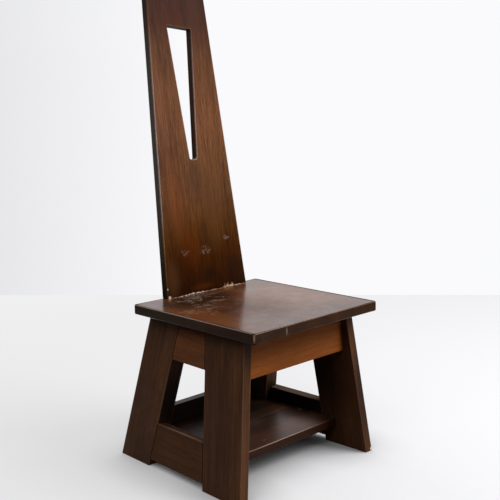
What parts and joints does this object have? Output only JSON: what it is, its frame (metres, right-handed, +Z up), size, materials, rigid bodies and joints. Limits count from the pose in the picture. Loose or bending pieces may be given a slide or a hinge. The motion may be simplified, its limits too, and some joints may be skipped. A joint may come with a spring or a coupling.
{
  "type": "hall chair",
  "caption": "Hall chair with a tall raked plank back pierced by a tapering slot, an overhanging board seat, splayed board side frames and a low shelf.",
  "frame": {"origin": "on the floor, under the middle of the chair's bounding box", "axes": "+Z up, -Y towards the front of the chair, +X to the right as one faces the chair from its front"},
  "size_m": [0.5004, 0.5624, 1.2729],
  "materials": {
    "seat_wood": "dark stained and polished, satin to semi-gloss",
    "plank_wood": "stained reddish brown, satin polish",
    "frame_wood": "dark stained, satin",
    "apron_wood": "stained warm orange brown, satin",
    "shelf_wood": "stained, worn satin",
    "hidden_wood": "unpolished secondary timber",
    "screw_steel": "dulled steel"
  },
  "bodies": {
    "root": {"seat_board_left": "seat_wood", "seat_board_middle": "seat_wood", "seat_board_right": "seat_wood", "back_plank": "plank_wood", "front_apron": "apron_wood", "rear_apron": "frame_wood", "rear_lower_rail": "frame_wood", "shelf_board_front": "shelf_wood", "shelf_board_rear": "shelf_wood", "left_front_leg": "frame_wood", "left_rear_leg": "frame_wood", "left_upper_rail": "frame_wood", "left_lower_rail": "frame_wood", "left_seat_cleat": "hidden_wood", "left_shelf_cleat": "hidden_wood", "left_front_corner_block": "hidden_wood", "left_rear_corner_block": "hidden_wood", "right_front_leg": "frame_wood", "right_rear_leg": "frame_wood", "right_upper_rail": "frame_wood", "right_lower_rail": "frame_wood", "right_seat_cleat": "hidden_wood", "right_shelf_cleat": "hidden_wood", "right_front_corner_block": "hidden_wood", "right_rear_corner_block": "hidden_wood", "plank_screw_1": "screw_steel", "plank_screw_2": "screw_steel", "plank_screw_3": "screw_steel", "plank_screw_4": "screw_steel", "seat_screw_1": "screw_steel", "seat_screw_2": "screw_steel", "seat_screw_3": "screw_steel", "seat_screw_4": "screw_steel", "shelf_screw_1": "screw_steel", "shelf_screw_2": "screw_steel", "shelf_screw_3": "screw_steel", "shelf_screw_4": "screw_steel"}
  },
  "joints": []
}
